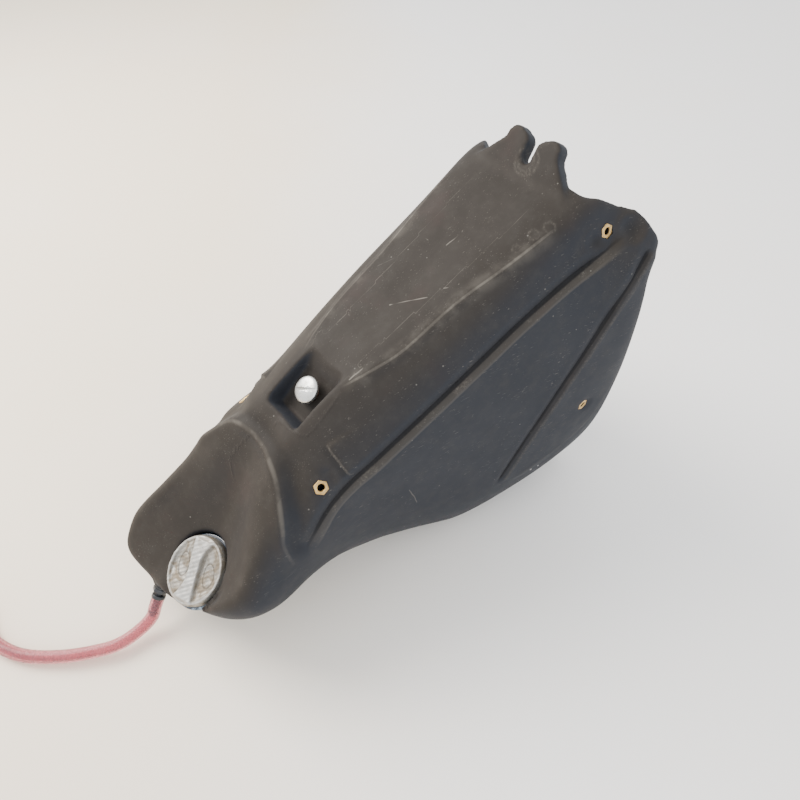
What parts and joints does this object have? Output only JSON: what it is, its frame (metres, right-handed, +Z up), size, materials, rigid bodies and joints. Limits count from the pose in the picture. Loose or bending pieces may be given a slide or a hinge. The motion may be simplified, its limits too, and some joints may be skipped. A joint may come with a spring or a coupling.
{
  "type": "motorcycle fuel tank",
  "caption": "Hollow moulded off-road motorcycle fuel tank that straddles the frame, with screw cap, vent hose, seat screw, threaded inserts and fuel tap.",
  "frame": {"origin": "centre of the bounding box's base, without the vent hose, on the surface that the tank rests on", "axes": "+X horizontally toward the nose, +Y toward the tank's left flank, +Z up; the tank rests nose down on the front edges of its lobes"},
  "size_m": [0.6765, 0.2886, 0.4021],
  "materials": {
    "shell_plastic": "satin",
    "ring_plastic": "gloss",
    "cast_cap": "stained cast",
    "plug_plastic": "matte",
    "rubber": "matte",
    "steel": "satin",
    "plated_steel": "worn plating",
    "rusty_steel": "rusty",
    "brass": "worn",
    "vent_plastic": "satin",
    "hose_pvc": "translucent",
    "tap_alloy": "cast",
    "mesh_plastic": "satin",
    "lever_alloy": "satin"
  },
  "bodies": {
    "tank": {"tank_shell": "shell_plastic", "neck_ring": "ring_plastic", "collar_screw": "plated_steel", "collar_spacer": "rusty_steel", "collar_insert": "brass", "front_insert_left": "brass", "front_insert_right": "brass", "rear_insert_left": "brass", "rear_insert_right": "brass", "lower_insert_left": "brass", "lower_insert_right": "brass", "vent_seal": "rubber", "vent_nut": "vent_plastic", "vent_barb": "vent_plastic", "vent_hose": "hose_pvc", "tap_body": "tap_alloy", "tap_seal": "rubber", "tap_flange_screws": "steel", "tap_strainer": "mesh_plastic", "tap_packing": "rubber", "tap_wave_washer": "steel", "tap_plate": "tap_alloy", "tap_plate_screws": "steel"},
    "gasket": {"cap_gasket": "rubber"},
    "cap": {"cap_body": "cast_cap", "cap_plug": "plug_plastic", "cap_screws": "steel"},
    "lever": {"tap_lever": "lever_alloy"}
  },
  "joints": [
    {"name": "cap_lift", "type": "slide", "parent": "tank", "child": "gasket", "axis": [0.5, 0, 0.866], "range_m": [0, 0.008]},
    {"name": "cap_turn", "type": "hinge", "parent": "gasket", "child": "cap", "pos_m": [0.2091, 0, 0.099], "axis": [0.5, 0, 0.866], "range_deg": [0, 720]},
    {"name": "tap_turn", "type": "hinge", "parent": "tank", "child": "lever", "pos_m": [-0.23651, 0.089, 0.02718], "axis": [0, -1, 0], "range_deg": [0, 180]}
  ],
  "couplings": [
    {"joint": "cap_lift", "follows": "cap_turn", "m_per_rad": 0.00063662}
  ]
}
